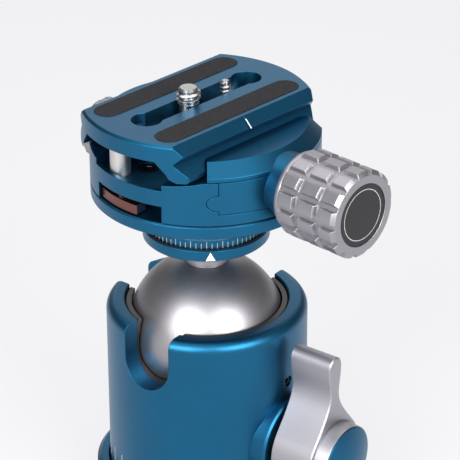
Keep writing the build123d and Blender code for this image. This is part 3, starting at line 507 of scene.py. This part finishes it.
# %% Ring on the end disc
disc_low, disc_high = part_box("clamp_knob_end_disc")
DISC_FACE = disc_low[1]
DISC_HEIGHT = (disc_low[2] + disc_high[2]) / 2
RING_RADIUS = 6.8 * MM
RING_WIDTH = 0.2 * MM
clear_selection()
bpy.ops.mesh.primitive_circle_add(vertices=96, radius=RING_RADIUS, fill_type="NGON",
                                  location=(0, DISC_FACE, DISC_HEIGHT),
                                  rotation=(math.radians(90), 0, 0))
disc_ring = bpy.context.active_object
disc_ring.name = "end_disc_ring"
bpy.ops.object.mode_set(mode="EDIT")
bpy.ops.mesh.select_all(action="SELECT")
bpy.ops.mesh.inset(thickness=RING_WIDTH)
bpy.ops.mesh.delete(type="FACE")
bpy.ops.object.mode_set(mode="OBJECT")
thickness = disc_ring.modifiers.new("thickness", "SOLIDIFY")
thickness.thickness = INK_DEPTH
thickness.offset = 0
bpy.ops.object.modifier_apply(modifier="thickness")
settle(disc_ring, white_ink, "jaw_knob")

# %% [markdown]
# A low collar stands behind the clamp knob and covers the end of the jaw's boss. It is a
# cylinder primitive without caps, thickened inwards by Solidify, with its rim rounded by Bevel.

# %% Knob collar
knob_low, knob_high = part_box("clamp_knob")
KNOB_BACK = knob_high[1]
KNOB_HEIGHT = (knob_low[2] + knob_high[2]) / 2
COLLAR_RADIUS = 10.5 * MM
COLLAR_DEPTH = 1.5 * MM
COLLAR_WALL = 1.0 * MM
COLLAR_ROUNDING = 0.3 * MM
clear_selection()
bpy.ops.mesh.primitive_cylinder_add(vertices=72, radius=COLLAR_RADIUS, depth=COLLAR_DEPTH,
                                    end_fill_type="NOTHING",
                                    location=(0, KNOB_BACK + COLLAR_DEPTH / 2, KNOB_HEIGHT),
                                    rotation=(math.radians(90), 0, 0))
knob_collar = bpy.context.active_object
knob_collar.name = "knob_collar"
wall = knob_collar.modifiers.new("wall", "SOLIDIFY")
wall.thickness = COLLAR_WALL
wall.offset = -1
bpy.ops.object.modifier_apply(modifier="wall")
rounding = knob_collar.modifiers.new("rounding", "BEVEL")
rounding.width = COLLAR_ROUNDING
rounding.segments = 2
bpy.ops.object.modifier_apply(modifier="rounding")
bpy.ops.object.shade_smooth_by_angle(angle=math.radians(40))
settle(knob_collar, turned_grey, "jaw_knob")

# %% [markdown]
# The camera screw is a quarter-inch screw with 20 threads to the inch, so its pitch is 1.27 mm.
# CAD leaves it a plain cylinder. Here a merged copy of it is thinned to the thread's root from
# a height upwards, and a ridge is wound round it. The ridge is a plane primitive narrowed to the
# thread's profile, with its face deleted. A Screw modifier turns and lifts that outline, and the
# open ends are filled. The copy drops the normals that it brought from CAD, because they no
# longer fit the new shape.

# %% Screw threads
THREAD_STEPS = 40  # round one turn
RIDGE_ROOM = 0.9  # height kept for the ridge at the two ends together, in pitches
RIDGE_FOOT = 0.82  # height of the ridge at its foot, in pitches
RIDGE_CREST = 0.22  # height at its crest, as a share of that
RIDGE_SINK = 0.1 * MM  # how far the foot lies inside the core
NECK_HEIGHT = 0.2 * MM  # left unthinned above the thread's low end


def threaded_copy(node_name, name, crest, root, pitch, low, high):
    """Copy of a CAD screw with a cut thread between two heights."""
    corner_low, corner_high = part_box(node_name)
    axis = (Vector(corner_low) + Vector(corner_high)) / 2
    axis.z = 0
    core = bpy.data.objects.new(name, nodes[node_name].data.copy())
    bpy.context.scene.collection.objects.link(core)
    only(core)
    bpy.ops.object.mode_set(mode="EDIT")
    bpy.ops.mesh.select_all(action="SELECT")
    bpy.ops.mesh.remove_doubles(threshold=0.001 * MM)
    bpy.ops.mesh.customdata_custom_splitnormals_clear()
    bpy.ops.mesh.select_all(action="DESELECT")
    bpy.ops.object.mode_set(mode="OBJECT")
    for vertex in core.data.vertices:
        outer = (vertex.co - axis).to_2d().length > crest / 2
        vertex.select = outer and vertex.co.z > low + NECK_HEIGHT
    bpy.ops.object.mode_set(mode="EDIT")
    bpy.ops.transform.resize(value=(root / crest, root / crest, 1), center_override=axis)
    bpy.ops.object.mode_set(mode="OBJECT")
    clear_selection()
    ridge_start = axis + Vector((0, 0, low + pitch * RIDGE_ROOM / 2))
    bpy.ops.mesh.primitive_plane_add(size=1, location=ridge_start,
                                     rotation=(math.radians(90), 0, 0))
    ridge = bpy.context.active_object
    bpy.ops.object.transform_apply(location=False, rotation=True, scale=False)
    bpy.ops.object.mode_set(mode="EDIT")
    bpy.ops.mesh.select_all(action="SELECT")
    depth = crest - root + RIDGE_SINK
    bpy.ops.transform.resize(value=(depth, 1, pitch * RIDGE_FOOT), center_override=ridge_start)
    bpy.ops.transform.translate(value=(crest - depth / 2, 0, 0))
    bpy.ops.mesh.delete(type="ONLY_FACE")
    bpy.ops.mesh.select_all(action="DESELECT")
    bpy.ops.object.mode_set(mode="OBJECT")
    for vertex in ridge.data.vertices:
        vertex.select = vertex.co.x > crest - depth / 2
    bpy.ops.object.mode_set(mode="EDIT")
    bpy.ops.transform.resize(value=(1, 1, RIDGE_CREST), center_override=ridge_start)
    bpy.ops.object.mode_set(mode="OBJECT")
    turns = (high - low) / pitch - RIDGE_ROOM
    winding = ridge.modifiers.new("winding", "SCREW")
    winding.axis = "Z"
    winding.angle = turns * 2 * math.pi
    winding.screw_offset = turns * pitch
    winding.iterations = 1
    winding.steps = winding.render_steps = round(turns * THREAD_STEPS)
    bpy.ops.object.modifier_apply(modifier="winding")
    bpy.ops.object.mode_set(mode="EDIT")
    bpy.ops.mesh.select_all(action="SELECT")
    bpy.ops.mesh.remove_doubles(threshold=0.001 * MM)
    bpy.ops.mesh.fill_holes(sides=0)
    bpy.ops.mesh.normals_make_consistent(inside=False)
    bpy.ops.object.mode_set(mode="OBJECT")
    bpy.ops.object.transform_apply(location=True, rotation=True, scale=True)
    piece = joined([core, ridge], name)
    only(piece)
    bpy.ops.object.shade_smooth_by_angle(angle=math.radians(32))
    print(name, "turns:", round(turns, 2))
    return piece


SCREW_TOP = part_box("camera_screw")[1][2]
camera_thread = threaded_copy("camera_screw", "camera_screw_thread", crest=3.12 * MM,
                              root=2.5 * MM, pitch=1.27 * MM, low=SCREW_TOP - 4.4 * MM,
                              high=SCREW_TOP - 0.5 * MM)
settle(camera_thread, stainless, "screw")
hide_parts("camera_screw")

# %% [markdown]
# The small stud beside it stops a camera from turning. A screw as thin as this, 2.8 mm across,
# would have a thread of about 0.5 mm pitch, which is drawn at 1.1 mm so that its turns show.

# %% Stud thread
STUD_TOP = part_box("anti_twist_stud")[1][2]
stud_thread = threaded_copy("anti_twist_stud", "anti_twist_stud_thread", crest=1.4 * MM,
                            root=1.05 * MM, pitch=1.1 * MM, low=STUD_TOP - 4.0 * MM,
                            high=STUD_TOP - 0.2 * MM)
settle(stud_thread, stainless, "stud")
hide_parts("anti_twist_stud")

# %% [markdown]
# The floor is a wide pale sheet that the head stands on. Its glow shows near-white to the camera
# and to reflections only, and lights nothing. A share of the plain paper is kept in the mix, so
# that the head's soft shadow stays. The room round it is a dim, even grey-white light.

# %% Floor and world
clear_selection()
bpy.ops.mesh.primitive_plane_add(size=8, location=(0, 0, 0))
floor = bpy.context.active_object
floor.name = "studio_floor"
GLOW_STRENGTH = 0.88
GLOW_SHARE = 0.85
floor_material, floor_tree, floor_output = new_material("studio_paper")
paper = add_node(floor_tree, "ShaderNodeBsdfDiffuse", inputs={"Color": hex_colour("f4f4f6")})
glow = add_node(floor_tree, "ShaderNodeEmission", inputs={
    "Color": hex_colour("fafafc"), "Strength": GLOW_STRENGTH})
rays = add_node(floor_tree, "ShaderNodeLightPath")
either = add_node(floor_tree, "ShaderNodeMath", {"operation": "MAXIMUM"})
floor_tree.links.new(rays.outputs["Is Camera Ray"], either.inputs[0])
floor_tree.links.new(rays.outputs["Is Glossy Ray"], either.inputs[1])
share = add_node(floor_tree, "ShaderNodeMath", {"operation": "MULTIPLY"})
floor_tree.links.new(either.outputs["Value"], share.inputs[0])
share.inputs[1].default_value = GLOW_SHARE
blend = add_node(floor_tree, "ShaderNodeMixShader", inputs={"Fac": share.outputs["Value"]})
floor_tree.links.new(paper.outputs["BSDF"], blend.inputs[1])
floor_tree.links.new(glow.outputs["Emission"], blend.inputs[2])
floor_tree.links.new(blend.outputs["Shader"], floor_output.inputs["Surface"])
floor.data.materials.append(floor_material)

world = bpy.data.worlds.new("studio_room")
bpy.context.scene.world = world
world.use_nodes = True
room = world.node_tree.nodes["Background"]
room.inputs["Color"].default_value = hex_colour("f2f2f4")
room.inputs["Strength"].default_value = 0.18
print("floor:", floor.name, "world:", world.name)

# %% [markdown]
# Two square softboxes stand left and right of the camera and give the ball its two highlights.
# A wide one hangs over the head and lights the plate's top and the housing's rim. A dim, broad
# panel behind is only there to be mirrored: the plate's top shows it as a greyish sheen.


# %% Lights
def softbox(name, place, aim, size, power):
    """Rectangular area light aimed at a point."""
    lamp = bpy.data.lights.new(name, "AREA")
    lamp.shape = "RECTANGLE"
    lamp.size, lamp.size_y = size
    lamp.energy = power
    holder = bpy.data.objects.new(name, lamp)
    bpy.context.scene.collection.objects.link(holder)
    holder.location = place
    direction = Vector(aim) - Vector(place)
    holder.rotation_euler = direction.to_track_quat("-Z", "Y").to_euler()
    print(name, "power:", power)


HEAD_MIDDLE = (0, 0, 0.06)
softbox("softbox_left", (-0.62, -0.16, 0.38), HEAD_MIDDLE, (0.46, 0.46), 7.2)
softbox("softbox_right", (-0.12, -0.66, 0.38), HEAD_MIDDLE, (0.46, 0.46), 7.2)
softbox("softbox_top", (0.05, 0.10, 0.75), HEAD_MIDDLE, (0.80, 0.80), 4.2)
softbox("back_panel", (0.75, 0.75, 0.45), HEAD_MIDDLE, (0.90, 0.50), 1.4)

# %% [markdown]
# The camera looks down at about 27 degrees through a long lens, which keeps the plate's far
# edge nearly as long as its near one.

# %% Camera
EYE = Vector((-416.727, -413.497, 378.280)) * MM
AIM = Vector((4.353, -4.482, 77.083)) * MM
ROLL = math.radians(-0.252)
camera_data = bpy.data.cameras.new("camera")
camera_data.lens = 196.02
camera_data.sensor_width = 36.0
camera = bpy.data.objects.new("camera", camera_data)
bpy.context.scene.collection.objects.link(camera)
look = (AIM - EYE).to_track_quat("-Z", "Y").to_matrix().to_4x4()
camera.matrix_world = Matrix.Translation(EYE) @ look @ Matrix.Rotation(ROLL, 4, "Z")
bpy.context.scene.camera = camera
bpy.context.scene.view_settings.view_transform = "Standard"
print("camera to head, m:", round((AIM - EYE).length, 3))
